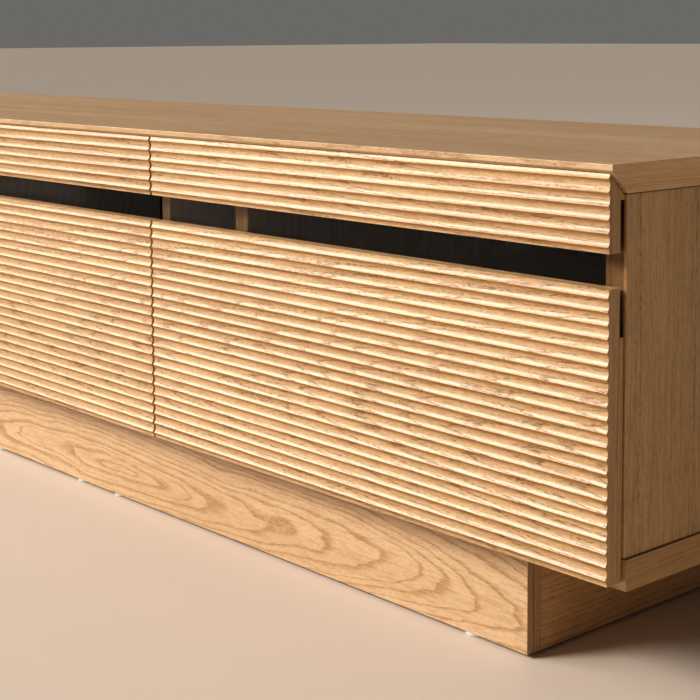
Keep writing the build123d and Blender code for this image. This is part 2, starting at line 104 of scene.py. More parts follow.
class CabinetWoodSettings(bpy.types.PropertyGroup):
    pale: colour("Pale wood", "Late wood between the growth lines", (0.66, 0.405, 0.19))
    line: colour("Growth line", "Porous early wood along a growth line", (0.36, 0.185, 0.058))
    pore: colour("Pore", "Open pores of the oak", (0.18, 0.09, 0.028))
    # Tint of the painted shade in the door hollows and under their ridges
    painted_hollow_shade: colour("Painted hollow shade", "Tint of the painted shade in the hollows of the doors", (0.62, 0.435, 0.23))
    # Colour of the painted shade line at the board joints
    seam: colour("Joint line", "Painted shade line where two boards meet", (0.05, 0.028, 0.014))
    inner: colour("Inner wood", "Tint of the upright boards inside the cabinet", (0.60, 0.39, 0.20))
    stained: colour("Stained wood", "Tint of the dark backs and shelves", (0.10, 0.066, 0.042))
    ring: size("Ring spacing", "Distance between two growth rings", 4.6)


class CabinetFittingSettings(bpy.types.PropertyGroup):
    glass: colour("Glass tint", "Colour of the smoked glass", (0.60, 0.54, 0.47))
    steel: colour("Steel", "Plated hinges, plates and pins", (0.56, 0.55, 0.53))
    zinc: colour("Zinc", "Plated screws and cam nuts", (0.62, 0.61, 0.58))
    black: colour("Black plastic", "Rings of the cable outlets", (0.018, 0.017, 0.016))
    glide: colour("Glide plastic", "Pads under the plinth", (0.60, 0.60, 0.58))
    ease: size("Ease", "Rounding of the fittings' edges", 0.5)


class CabinetStageSettings(bpy.types.PropertyGroup):
    place: FloatVectorProperty(
        name="Camera place", description="Where the camera stands",
        default=(1.801, -1.2195, 0.5725), subtype="XYZ", unit="LENGTH",
    )
    turn: FloatVectorProperty(
        name="Camera turn", description="How the camera is turned",
        default=[math.radians(a) for a in (85.1, 0.31, 48.46)], subtype="EULER", unit="ROTATION",
    )
    lens: FloatProperty(name="Lens", description="Focal length", default=79.83, unit="CAMERA")
    shift: FloatProperty(name="Shift", description="Upward shift of the view", default=-0.262)
    key: FloatProperty(name="Key light", description="Strength of the main light", default=2.55)
    window: FloatProperty(name="Window light", description="Power of the wide light", default=250.0)
    fill: FloatProperty(name="Fill light", description="Strength of the even light", default=0.18)
    floor: colour("Floor", "Colour of the plain floor", (0.63, 0.53, 0.445))
    wall: colour("Surround", "Colour of the even light all round", (0.84, 0.81, 0.77))


# Node trees ------------------------------------------------------------------

class Sheet:
    """Places nodes from left to right in one tree and joins them."""

    def __init__(self, tree):
        self.tree = tree
        self.column = 0

    def add(self, kind, inputs=None, **settings):
        """A node with its settings; an input is a value or the output that feeds it."""
        node = self.tree.nodes.new(kind)
        node.location = (self.column * 190, -60 * (self.column % 4))
        self.column += 1
        for key, value in settings.items():
            setattr(node, key, value)
        self.feed(node, inputs or {})
        return node

    def out(self, kind, inputs, **settings):
        """The first output of a new node."""
        return self.add(kind, inputs, **settings).outputs[0]

    def feed(self, node, inputs):
        """Gives inputs their values, or joins them to the outputs that feed them."""
        for key, value in inputs.items():
            if isinstance(value, bpy.types.NodeSocket):
                self.tree.links.new(value, node.inputs[key])
            else:
                node.inputs[key].default_value = value

    def maths(self, operation, *values):
        """The result of one maths node."""
        return self.out("ShaderNodeMath", dict(enumerate(values)), operation=operation)

    def vector(self, operation, *values):
        """The vector result of one vector maths node."""
        node = self.add("ShaderNodeVectorMath", dict(enumerate(values)), operation=operation)
        return node.outputs["Value" if operation == "LENGTH" else "Vector"]

    def ramp(self, value, low, high, start=0.0, end=1.0):
        """A value carried smoothly from one range to another."""
        inputs = {"Value": value, 1: low, 2: high, 3: start, 4: end}
        return self.out("ShaderNodeMapRange", inputs, interpolation_type="SMOOTHSTEP")

    def noise(self, vector, scale, detail=2.0, rough=0.5, output="Fac"):
        """Soft random values, from 0 to 1, on coordinates stretched by a scale."""
        stretched = self.vector("MULTIPLY", vector, scale)
        inputs = {"Vector": stretched, "Scale": 1.0, "Detail": detail, "Roughness": rough}
        return self.add("ShaderNodeTexNoise", inputs).outputs[output]

    def mix(self, factor, first, second, blend="MIX"):
        """A mix of two colours."""
        inputs = {0: factor, 6: first, 7: second}
        return self.add("ShaderNodeMix", inputs, data_type="RGBA", blend_type=blend).outputs[2]

    def part(self, vector, axis):
        """One part of a vector."""
        return self.add("ShaderNodeSeparateXYZ", {0: vector}).outputs[axis]

    def scaled(self, vector, factor):
        """A vector made longer or shorter."""
        inputs = {0: vector, "Scale": factor}
        return self.out("ShaderNodeVectorMath", inputs, operation="SCALE")

    def along(self, axis, length):
        """A vector along one axis."""
        return self.out("ShaderNodeCombineXYZ", {axis: length})

    def join(self, *pieces):
        """One geometry from several."""
        node = self.add("GeometryNodeJoinGeometry")
        for piece in pieces:
            self.tree.links.new(piece, node.inputs[0])
        return node.outputs[0]

    def weld(self, geometry):
        """A geometry with its touching points merged."""
        inputs = {"Geometry": geometry, "Distance": WELD}
        return self.out("GeometryNodeMergeByDistance", inputs)

    def finish(self, geometry, given, result):
        """Ends a geometry tree: the copies are made real and get the finish."""
        real = self.out("GeometryNodeRealizeInstances", {"Geometry": geometry})
        inputs = {"Geometry": real, "Material": given["Finish"]}
        self.feed(result, {0: self.out("GeometryNodeSetMaterial", inputs)})


def new_group(name, kind, inputs, outputs):
    """A node group, the sheet that fills it, what it is given and the node for its result.

    A socket is its name, its kind of value and, where it has one, its default.
    """
    group = bpy.data.node_groups.new(name, kind)
    for direction, sockets in (("INPUT", inputs), ("OUTPUT", outputs)):
        for label, kind_of_value, *default in sockets:
            socket_type = "NodeSocket" + kind_of_value
            socket = group.interface.new_socket(label, in_out=direction, socket_type=socket_type)
            if default:
                socket.default_value = default[0]
    sheet = Sheet(group)
    return group, sheet, sheet.add("NodeGroupInput").outputs, sheet.add("NodeGroupOutput")


def opaque(rgb):
    """A colour with full cover."""
    return (*rgb, 1.0)


def oak_grain_group():
    """Growth rings, fibres and pores of oak in solid wood; the grain runs along the first axis."""
    group, sheet, given, result = new_group(
        "Oak grain", "ShaderNodeTree",
        [("Vector", "Vector"), ("Ring Spacing", "Float"), ("Wander", "Float"), ("Seed", "Vector")],
        [(name, "Float") for name in ("Rings", "Fibres", "Pores", "Tone", "Height")],
    )
    place = given["Vector"]
    seeded = sheet.vector("ADD", place, given["Seed"])

    slow = sheet.noise(seeded, (2.4, 7.0, 7.0), 2.0, output="Color")
    quick = sheet.noise(seeded, (16.0, 55.0, 55.0), 3.0, output="Color")
    slow_centred = sheet.vector("SUBTRACT", slow, (0.5, 0.5, 0.5))
    quick_centred = sheet.vector("SUBTRACT", quick, (0.5, 0.5, 0.5))
    wobble = sheet.scaled(slow_centred, given["Wander"])
    ripple = sheet.scaled(quick_centred, sheet.maths("MULTIPLY", given["Wander"], 0.17))
    moved = sheet.vector("ADD", sheet.vector("ADD", place, wobble), ripple)
    across = sheet.vector("MULTIPLY", moved, (0.0, 1.0, 1.0))
    radius = sheet.vector("LENGTH", across)

    turns = sheet.maths("DIVIDE", radius, given["Ring Spacing"])
    years = {"W": turns, "Scale": 0.43, "Detail": 1.0}
    spread = sheet.out("ShaderNodeTexNoise", years, noise_dimensions="1D")
    uneven = sheet.maths("MULTIPLY", sheet.maths("SUBTRACT", spread, 0.5), 2.6)
    phase = sheet.maths("FRACT", sheet.maths("ADD", turns, uneven))
    rise = sheet.ramp(phase, 0.0, 0.10)
    fall = sheet.ramp(phase, 0.11, 0.42, 1.0, 0.0)
    early = sheet.maths("MULTIPLY", rise, fall)

    fibres = sheet.noise(seeded, (20.0, 300.0, 300.0), 3.0, 0.65)
    fine = sheet.noise(seeded, (70.0, 1500.0, 1500.0), 1.0)
    fleck = sheet.noise(seeded, (170.0, 760.0, 760.0), 1.0)
    speck = sheet.maths("MAXIMUM", sheet.ramp(fine, 0.53, 0.62), sheet.ramp(fleck, 0.55, 0.62))
    pore_cover = sheet.maths("MULTIPLY_ADD", early, 0.65, 0.35)
    pores = sheet.maths("MULTIPLY", speck, pore_cover)
    tone = sheet.noise(seeded, (1.3, 13.0, 13.0), 2.0)

    broken = sheet.maths("MULTIPLY", early, sheet.ramp(fibres, 0.20, 0.62, 0.45, 1.0))
    height = sheet.maths("MULTIPLY_ADD", pores, -0.7, sheet.maths("MULTIPLY", fibres, 0.3))
    sheet.feed(
        result, {"Rings": broken, "Fibres": fibres, "Pores": pores, "Tone": tone, "Height": height}
    )
    return group


def coat_group(name, base):
    """A shader group for a coat: its colour, roughness and height from a base colour."""
    return new_group(
        name, "ShaderNodeTree",
        [("Vector", "Vector"), ("Base", "Color", opaque(base))],
        [("Color", "Color"), ("Roughness", "Float"), ("Height", "Float")],
    )


def plated_group():
    """Fine brushing and soft stains of plated metal."""
    group, sheet, given, result = coat_group("Plated metal", (0.6, 0.6, 0.6))
    vector, base = given["Vector"], given["Base"]
    brushed = sheet.noise(vector, (90.0, 2200.0, 2200.0), 2.0)
    stain = sheet.noise(vector, (160.0, 160.0, 160.0), 3.0)
    dull = sheet.mix(sheet.ramp(stain, 0.45, 0.75, 0.0, 0.35), base, opaque((0.24, 0.22, 0.2)))
    stained = sheet.ramp(stain, 0.3, 0.8, 0.24, 0.42)
    rough = sheet.maths("ADD", stained, sheet.maths("MULTIPLY", brushed, 0.08))
    sheet.feed(result, {"Color": dull, "Roughness": rough, "Height": brushed})
    return group


def moulded_group():
    """Fine spark-eroded grain and slight mottling of moulded plastic."""
    group, sheet, given, result = coat_group("Moulded plastic", (0.1, 0.1, 0.1))
    vector, base = given["Vector"], given["Base"]
    grain = sheet.noise(vector, (2600.0, 2600.0, 2600.0), 1.0)
    mottle = sheet.noise(vector, (120.0, 120.0, 120.0), 2.0)
    shade = sheet.mix(sheet.ramp(mottle, 0.3, 0.7, 0.0, 0.25), base, opaque((0.30, 0.28, 0.26)))
    rough = sheet.ramp(mottle, 0.2, 0.8, 0.42, 0.58)
    sheet.feed(result, {"Color": shade, "Roughness": rough, "Height": grain})
    return group


def shared_group(name, builder):
    """A node group that is built the first time it is asked for."""
    return bpy.data.node_groups.get(name) or builder()


def start_material(name):
    """An empty material with its shader and the object's own coordinates."""
    material = bpy.data.materials.new(name)
    material.use_nodes = True
    material.node_tree.nodes.clear()
    sheet = Sheet(material.node_tree)
    coordinates = sheet.add("ShaderNodeTexCoord")
    shader = sheet.add("ShaderNodeBsdfPrincipled")
    shader.location = (3600, 0)
    output = sheet.add("ShaderNodeOutputMaterial", {"Surface": shader.outputs[0]})
    output.location = (3900, 0)
    return material, sheet, coordinates, shader


def bump(sheet, shader, height, strength, distance):
    """Feeds the shader's normal from a height."""
    inputs = {"Height": height, "Strength": strength, "Distance": distance}
    sheet.feed(shader, {"Normal": sheet.add("ShaderNodeBump", inputs).outputs["Normal"]})


# Turns that lay the grain's own axis along one axis of the cabinet
GRAIN_TURN = {
    "X": (0.0, 0.0, 0.0),
    "Y": (0.0, 0.0, -QUARTER),
    "Z": (0.0, QUARTER, 0.0),
}
# Where a painted shade line at a joint starts and ends to fade, measured from the edge of its board
JOINT_SHADE_FADE = (0.4 * MM, 2.2 * MM)
WOOD_RELIEF = 0.15 * MM
COAT_RELIEF = 0.05 * MM


def oak(name, grain="X", heart=(0.0, 0.25, 0.05), tilt=0.0, ring=None, wander=0.008, seed=0.0,
        pale=None, contrast=1.0, pore_cover=0.45, relief=0.35, rough=0.36, band=None,
        band_tone=1.0, seams=None, hollow=None):
    """Satin oiled oak; heart is the middle of the growth rings, seen from the cabinet's frame.

    A band names the way the grain runs in the strip that covers the ends of a board, and a tone
    factor lightens or darkens that strip as painted light and shade. Two given heights mark the
    board's joint lines, along which a thin strip is darkened as painted shade.
    A hollow is the front and the back of scalloped hollows, across which the wood is darkened as
    painted shade, as it is on faces that look down under each ridge.
    """
    wood = bpy.context.scene.cabinet_wood
    material, sheet, coordinates, shader = start_material(name)
    place, facing = coordinates.outputs["Object"], coordinates.outputs["Normal"]
    turn = Vector(GRAIN_TURN[grain])
    turn.z += tilt
    moved = sheet.vector("SUBTRACT", place, heart)
    laid = sheet.out("ShaderNodeMapping", {"Vector": moved, "Rotation": turn})
    cover = pore_cover
    if band:
        level = sheet.vector("MULTIPLY", moved, (0.0, 1.0, 1.0))
        inputs = {"Vector": level, "Rotation": GRAIN_TURN[band]}
        strip = sheet.out("ShaderNodeMapping", inputs)
        sideways = sheet.maths("ABSOLUTE", sheet.part(facing, "X"))
        is_end = sheet.maths("GREATER_THAN", sideways, 0.8)
        inputs = {0: is_end, 4: laid, 5: strip}
        laid = sheet.add("ShaderNodeMix", inputs, data_type="VECTOR").outputs[1]
        cover = sheet.maths("MULTIPLY_ADD", is_end, -0.6 * pore_cover, pore_cover)
    inputs = {"Vector": laid, "Ring Spacing": ring or wood.ring, "Wander": wander}
    inputs["Seed"] = (seed, 1.7 * seed, 2.3 * seed)
    tree = shared_group("Oak grain", oak_grain_group)
    rings, fibres, pores, tone, height = sheet.add("ShaderNodeGroup", inputs, node_tree=tree).outputs

    light = Vector(pale or wood.pale)
    shaded = light * 0.86 + Vector((0.0, -0.012, -0.02))
    shade = sheet.mix(sheet.ramp(tone, 0.3, 0.7), opaque(light), opaque(shaded))
    shade = sheet.mix(sheet.ramp(fibres, 0.40, 0.72, 0.0, 0.42), shade, opaque(wood.line))
    shade = sheet.mix(sheet.maths("MULTIPLY", rings, 0.62 * contrast), shade, opaque(wood.line))
    shade = sheet.mix(sheet.maths("MULTIPLY", pores, cover), shade, opaque(wood.pore))
    # Painted light and shade: the end faces are lightened or darkened by a tone factor
    if band:
        painted_end_tint = opaque(Vector((1.0, 0.96, 0.90)) * band_tone)
        shade = sheet.mix(is_end, shade, sheet.mix(1.0, shade, painted_end_tint, "MULTIPLY"))
    # Painted shade: a thin dark line along the two joint heights, where shade falls in the joint
    if seams:
        start, stop = JOINT_SHADE_FADE
        low, high = seams
        up = sheet.part(place, "Z")
        below = sheet.ramp(up, low + start, low + stop, 1.0, 0.0)
        above = sheet.ramp(up, high - stop, high - start)
        joint = sheet.maths("MULTIPLY", sheet.maths("MAXIMUM", below, above), 0.95)
        shade = sheet.mix(joint, shade, opaque(wood.seam))
    # Painted shade: darker, richer wood deep in the hollows and on the faces that look down under each
    # ridge
    if hollow:
        deep = sheet.ramp(sheet.part(place, "Y"), *hollow, 0.0, 0.35)
        under = sheet.ramp(sheet.part(facing, "Z"), -0.60, 0.16, 1.0, 0.0)
        painted_hollow_shade = sheet.mix(1.0, shade, opaque(wood.painted_hollow_shade), "MULTIPLY")
        shade = sheet.mix(sheet.maths("MAXIMUM", deep, under), shade, painted_hollow_shade)
    gloss = sheet.maths("MULTIPLY_ADD", rings, 0.12, rough)
    sheet.feed(shader, {"Base Color": shade, "Roughness": gloss})
    bump(sheet, shader, height, relief, WOOD_RELIEF)
    return material


def coated(name, rgb, tree, relief, metallic=0.0):
    """A material whose coat comes from a shared group."""
    material, sheet, coordinates, shader = start_material(name)
    inputs = {"Vector": coordinates.outputs["Object"], "Base": opaque(rgb)}
    coat = sheet.add("ShaderNodeGroup", inputs, node_tree=tree)
    sheet.feed(shader, {"Base Color": coat.outputs["Color"], "Roughness": coat.outputs["Roughness"]})
    shader.inputs["Metallic"].default_value = metallic
    bump(sheet, shader, coat.outputs["Height"], relief, COAT_RELIEF)
    return material


def metal(name, rgb):
    """Plated, lightly brushed metal."""
    return coated(name, rgb, shared_group("Plated metal", plated_group), 0.15, 1.0)


def plastic(name, rgb, relief=0.2):
    """Moulded plastic with a fine grain."""
    return coated(name, rgb, shared_group("Moulded plastic", moulded_group), relief)


def smoked_glass(name, rgb):
    """Clear glass with a dark body tint, and a faint film of dust that dulls its gloss."""
    material, sheet, coordinates, shader = start_material(name)
    smear = sheet.noise(coordinates.outputs["Object"], (9.0, 60.0, 24.0), 3.0)
    dull = sheet.ramp(smear, 0.35, 0.8, 0.015, 0.06)
    cloud = sheet.ramp(smear, 0.3, 0.9, 0.0, 0.12)
    tint = sheet.mix(cloud, opaque(rgb), opaque(Vector(rgb) * 0.8))
    sheet.feed(shader, {"Roughness": dull, "Base Color": tint})
    shader.inputs["Transmission Weight"].default_value = 1.0
    shader.inputs["IOR"].default_value = 1.15
    shader.inputs["Specular IOR Level"].default_value = 0.25
    return material


# Meshes ----------------------------------------------------------------------

def object_from(name, mesh):
    """A new object in the scene that shows one mesh."""
    made = bpy.data.objects.new(name, mesh)
    bpy.context.scene.collection.objects.link(made)
    return made


def shown(name, mesh, material):
    """A new object of one mesh and one material."""
    mesh.materials.append(material)
    return object_from(name, mesh)


def mesh_from(name, work):
    """A mesh from a work mesh, which is freed."""
    mesh = bpy.data.meshes.new(name)
    work.to_mesh(mesh)
    work.free()
    return mesh


def clean(mesh, sharp_degrees=32):
    """Merges doubles, turns faces outwards and keeps only real edges sharp."""
    work = bmesh.new()
    work.from_mesh(mesh)
    bmesh.ops.remove_doubles(work, verts=work.verts, dist=0.002 * MM)
    bmesh.ops.recalc_face_normals(work, faces=work.faces)
    work.to_mesh(mesh)
    work.free()
    for polygon in mesh.polygons:
        polygon.use_smooth = True
    mesh.set_sharp_from_angle(angle=math.radians(sharp_degrees))
    return mesh


def lathe(profile, steps=48):
    """A solid turned about the vertical axis from (radius, height) points, bottom to top."""
    work = bmesh.new()
    angles = [2 * math.pi * i / steps for i in range(steps)]
    rings = []
    for radius, height in profile:
        spread = angles if radius else [0.0]
        places = [(radius * math.cos(a), radius * math.sin(a), height) for a in spread]
        rings.append([work.verts.new(place) for place in places])
    pairs = list(zip(rings, rings[1:]))
    if len(rings[0]) > 1 and len(rings[-1]) > 1:
        pairs.append((rings[-1], rings[0]))
    for low, high in pairs:
        for i in range(steps):
            j = (i + 1) % steps
            corners = [low[i % len(low)], low[j % len(low)], high[j % len(high)], high[i % len(high)]]
            work.faces.new(list(dict.fromkeys(corners)))
    return work


def rounded(radius, height, ease, steps=5):
    """Profile points of a disc with a rounded upper rim, bottom to top."""
    points = [(0, 0), (radius, 0)]
    for i in range(steps + 1):
        a = QUARTER * i / steps
        points.append((radius - ease + ease * math.cos(a), height - ease + ease * math.sin(a)))
    return points + [(0, height)]


def cross_recess(work, reach, arm, depth, top):
    """Sinks a cross into the flat disc at the top of a turned head."""
    centre = min((v for v in work.verts if v.co.xy.length < 1e-9), key=lambda v: -v.co.z)
    rim_edges = [e for f in centre.link_faces for e in f.edges if centre not in e.verts]
    bmesh.ops.delete(work, geom=[centre], context="VERTS")
    half = arm / 2
    corners = []
    for turn in range(4):
        a = turn * QUARTER
        for x, y in ((reach, -half), (reach, half), (half, half)):
            corners.append((x * math.cos(a) - y * math.sin(a), x * math.sin(a) + y * math.cos(a)))
    loop = [work.verts.new((x, y, top)) for x, y in corners]
    loop_edges = [work.edges.new((loop[i], loop[(i + 1) % 12])) for i in range(12)]
    rim_edges = [e for e in rim_edges if e.is_valid]
    bmesh.ops.triangle_fill(work, edges=rim_edges + loop_edges, use_beauty=True)
    low = [work.verts.new((v.co.x * 0.7, v.co.y * 0.7, top - depth)) for v in loop]
    for i in range(12):
        j = (i + 1) % 12
        work.faces.new((loop[i], loop[j], low[j], low[i]))
    work.faces.new(low)


def screw(name, head_radius, head_height, countersunk, shank_radius, length):
    """A screw whose head's face looks up at the origin's height, with a cross recess."""
    ease = bpy.context.scene.cabinet_fittings.ease
    if countersunk:
        under, top = -head_height, 0.0
        head = [(head_radius, -0.15 * MM), (head_radius - 0.1 * MM, 0), (0, 0)]
    else:
        under, top = 0.0, head_height
        head = rounded(head_radius, head_height, ease)[1:]
    shank = [(0, -length), (shank_radius, -length), (shank_radius, under)]
    work = lathe(shank + head, 32)
    cross_recess(work, head_radius * 0.55, head_radius * 0.24, head_height * 0.6, top)
    return clean(mesh_from(name, work), 40)


def soft_pad(name, width, height, steps):
    """A low round pad with a rounded rim."""
    profile = rounded(width / 2, height, 1.2 * MM)
    return clean(mesh_from(name, lathe(profile, steps)), 50)


def block_mesh(name, low, high, ease, steps=3):
    """A box between two corners with rounded edges."""
    work = bmesh.new()
    bmesh.ops.create_cube(work, size=1.0)
    middle = (Vector(low) + Vector(high)) / 2
    extent = Vector(high) - Vector(low)
    for vert in work.verts:
        vert.co = middle + Vector(a * b for a, b in zip(vert.co, extent))
    edges = list(work.edges)
    bmesh.ops.bevel(work, geom=edges, offset=ease, segments=steps, profile=0.5, affect="EDGES")
    return clean(mesh_from(name, work), 60)


# Geometry node trees ---------------------------------------------------------

def copies_tree():
    """Copies one piece onto every point of the given mesh, all turned the same way."""
    group, sheet, given, result = new_group(
        "Copies on points", "GeometryNodeTree",
        [("Points", "Geometry"), ("Piece", "Object"), ("Turn", "Rotation"), ("Finish", "Material")],
        [("Geometry", "Geometry")],
    )
    info = sheet.add("GeometryNodeObjectInfo", {"Object": given["Piece"]})
    piece = info.outputs["Geometry"]
    inputs = {"Points": given["Points"], "Instance": piece, "Rotation": given["Turn"]}
    sheet.finish(sheet.out("GeometryNodeInstanceOnPoints", inputs), given, result)
    return group


def scallops_tree():
    """Repeats a hollow up the front of an outline, closes the section and runs it out to a board.

    The outline lies flat: its first axis is the board's depth and its second the height.
    """
    sockets = [
        ("Outline", "Geometry"), ("Start", "Vector"), ("Scallops", "Int", 5),
        ("Pitch", "Float", 0.011), ("Depth", "Float", 0.002), ("Land", "Float", 0.0004),
        ("Arc Steps", "Int", 14), ("Length", "Float", 0.6), ("End", "Float", 0.0),
        ("Finish", "Material"),
    ]
    group, sheet, given, result = new_group(
        "Scalloped board", "GeometryNodeTree", sockets, [("Geometry", "Geometry")]
    )
    pitch = given["Pitch"]
    half_land = sheet.maths("MULTIPLY", given["Land"], 0.5)
    low = sheet.along("Y", sheet.maths("MULTIPLY", half_land, -1.0))
    begin = sheet.along("Y", half_land)
    deepest = {"X": given["Depth"], "Y": sheet.maths("MULTIPLY", pitch, 0.5)}
    middle = sheet.out("ShaderNodeCombineXYZ", deepest)
    end = sheet.along("Y", sheet.maths("SUBTRACT", pitch, half_land))
    inputs = {"Resolution": given["Arc Steps"], "Start": begin, "Middle": middle, "End": end}
    arc = sheet.out("GeometryNodeCurveArc", inputs, mode="POINTS")
    land = sheet.out("GeometryNodeCurvePrimitiveLine", {"Start": low, "End": begin})
    hollow = sheet.out("GeometryNodeCurveToMesh", {"Curve": sheet.join(arc, land)})
    inputs = {"Count": given["Scallops"], "Start Location": given["Start"]}
    inputs["Offset"] = sheet.along("Y", pitch)
    ladder = sheet.out("GeometryNodeMeshLine", inputs, mode="OFFSET")
    repeated = sheet.out("GeometryNodeInstanceOnPoints", {"Points": ladder, "Instance": hollow})
    front = sheet.out("GeometryNodeRealizeInstances", {"Geometry": repeated})
    section = sheet.weld(sheet.join(front, given["Outline"]))
    loop = sheet.out("GeometryNodeMeshToCurve", {"Mesh": section})
    face = sheet.out("GeometryNodeFillCurve", {"Curve": loop}, mode="NGONS")
    run = sheet.along("Z", given["Length"])
    inputs = {"Mesh": face, "Offset": run, "Offset Scale": 1.0, "Individual": False}
    drawn = sheet.out("GeometryNodeExtrudeMesh", inputs, mode="FACES")
    back = sheet.out("GeometryNodeFlipFaces", {"Mesh": face})
    inputs = {
        "Geometry": sheet.weld(sheet.join(drawn, back)),
        "Translation": sheet.along("X", given["End"]),
        "Rotation": (QUARTER, 0.0, QUARTER),
    }
    sheet.finish(sheet.out("GeometryNodeTransform", inputs), given, result)
    return group


def apply_tree(name, base, tree, values, sharp_degrees=32):
    """Runs a geometry node tree on a base mesh and keeps the result as a plain mesh."""
    holder = object_from(name + "_base", base)
    modifier = holder.modifiers.new("Build", "NODES")
    modifier.node_group = tree
    for item in tree.interface.items_tree:
        if item.in_out == "INPUT" and item.name in values:
            modifier[item.identifier] = values[item.name]
    graph = bpy.context.evaluated_depsgraph_get()
    mesh = bpy.data.meshes.new_from_object(holder.evaluated_get(graph), depsgraph=graph)
    mesh.name = name
    holder.modifiers.remove(modifier)
    bpy.data.objects.remove(holder)
    if not mesh.polygons:
        raise RuntimeError(f"{name} came out empty")
    return object_from(name, clean(mesh, sharp_degrees))


def points_mesh(name, places):
    """A mesh of loose points."""
    mesh = bpy.data.meshes.new(name)
    mesh.from_pydata([tuple(p) for p in places], [], [])
    return mesh


def scatter(name, piece_mesh, places, turn, material, sharp_degrees=40):
    """One object that holds a copy of a piece at each place."""
    piece = object_from(name + "_one", piece_mesh)
    tree = shared_group("Copies on points", copies_tree)
    values = {"Piece": piece, "Turn": turn, "Finish": material}
    made = apply_tree(name, points_mesh(name + "_points", places), tree, values, sharp_degrees)
    bpy.data.objects.remove(piece)
    return made


def finish_piece(piece, body, slot, *replaced):
    """Rides a piece on its body and hides the nodes it stands for; the slot is not used."""
    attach(piece, body)
    if replaced:
        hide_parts(*replaced)


def islands(node):
    """The lowest and highest corners of each separate solid of a node."""
    work = bmesh.new()
    work.from_mesh(NODES[node].data)
    bmesh.ops.remove_doubles(work, verts=work.verts, dist=WELD)
    left = set(work.verts)
    found = []
    while left:
        stack = [left.pop()]
        group = []
        while stack:
            vert = stack.pop()
            group.append(vert.co.copy())
            for edge in vert.link_edges:
                other = edge.other_vert(vert)
                if other in left:
                    left.remove(other)
                    stack.append(other)
        low = Vector([min(c[i] for c in group) for i in range(3)])
        high = Vector([max(c[i] for c in group) for i in range(3)])
        found.append((low, high))
    work.free()
    return sorted(found, key=lambda pair: tuple(round(v, 5) for v in pair[0]))


def set_finish(node, material):
    """Gives a carried-over node one material."""
    slots = NODES[node].material_slots
    if not slots:
        NODES[node].data.materials.append(material)
    for material_slot in slots:
        material_slot.material = material


# Pieces ----------------------------------------------------------------------

# Turns of a piece whose top looks up, so that it looks another way
FACE_BACK = (-QUARTER, 0.0, 0.0)
FACE_FRONT = (QUARTER, 0.0, 0.0)
FACE_DOWN = (2 * QUARTER, 0.0, 0.0)
FACE_RIGHT = (0.0, QUARTER, 0.0)
FACE_LEFT = (0.0, -QUARTER, 0.0)

# Brushed oak, finished with oil, of all door boards; the tone of their end faces is painted light
DOOR_OAK = {
    "pale": (0.68, 0.47, 0.265), "contrast": 0.6, "pore_cover": 0.85, "relief": 0.7,
    "band": "Z", "band_tone": 1.05,
}


def hollow_offset(height, centre, doors):
    """How far the front stands back at one height of a hollow."""
    half = (doors.pitch - doors.land) / 2
    radius = (half**2 + doors.depth**2) / (2 * doors.depth)
    away = height - centre
    if abs(away) >= half:
        return 0.0
    return math.sqrt(radius**2 - away**2) - (radius - doors.depth)


def hollow_run(start, stop, centre, front, doors):
    """Points along part of a hollow, from one height to another."""
    steps = doors.arc_steps
    heights = [start + (stop - start) * i / steps for i in range(steps + 1)]
    return [(front + hollow_offset(h, centre, doors), h) for h in heights]


def outline_mesh(name, points):
    """An open line through flat points."""
    mesh = bpy.data.meshes.new(name)
    edges = [(i, i + 1) for i in range(len(points) - 1)]
    mesh.from_pydata([(y, z, 0.0) for y, z in points], edges, [])
    return mesh


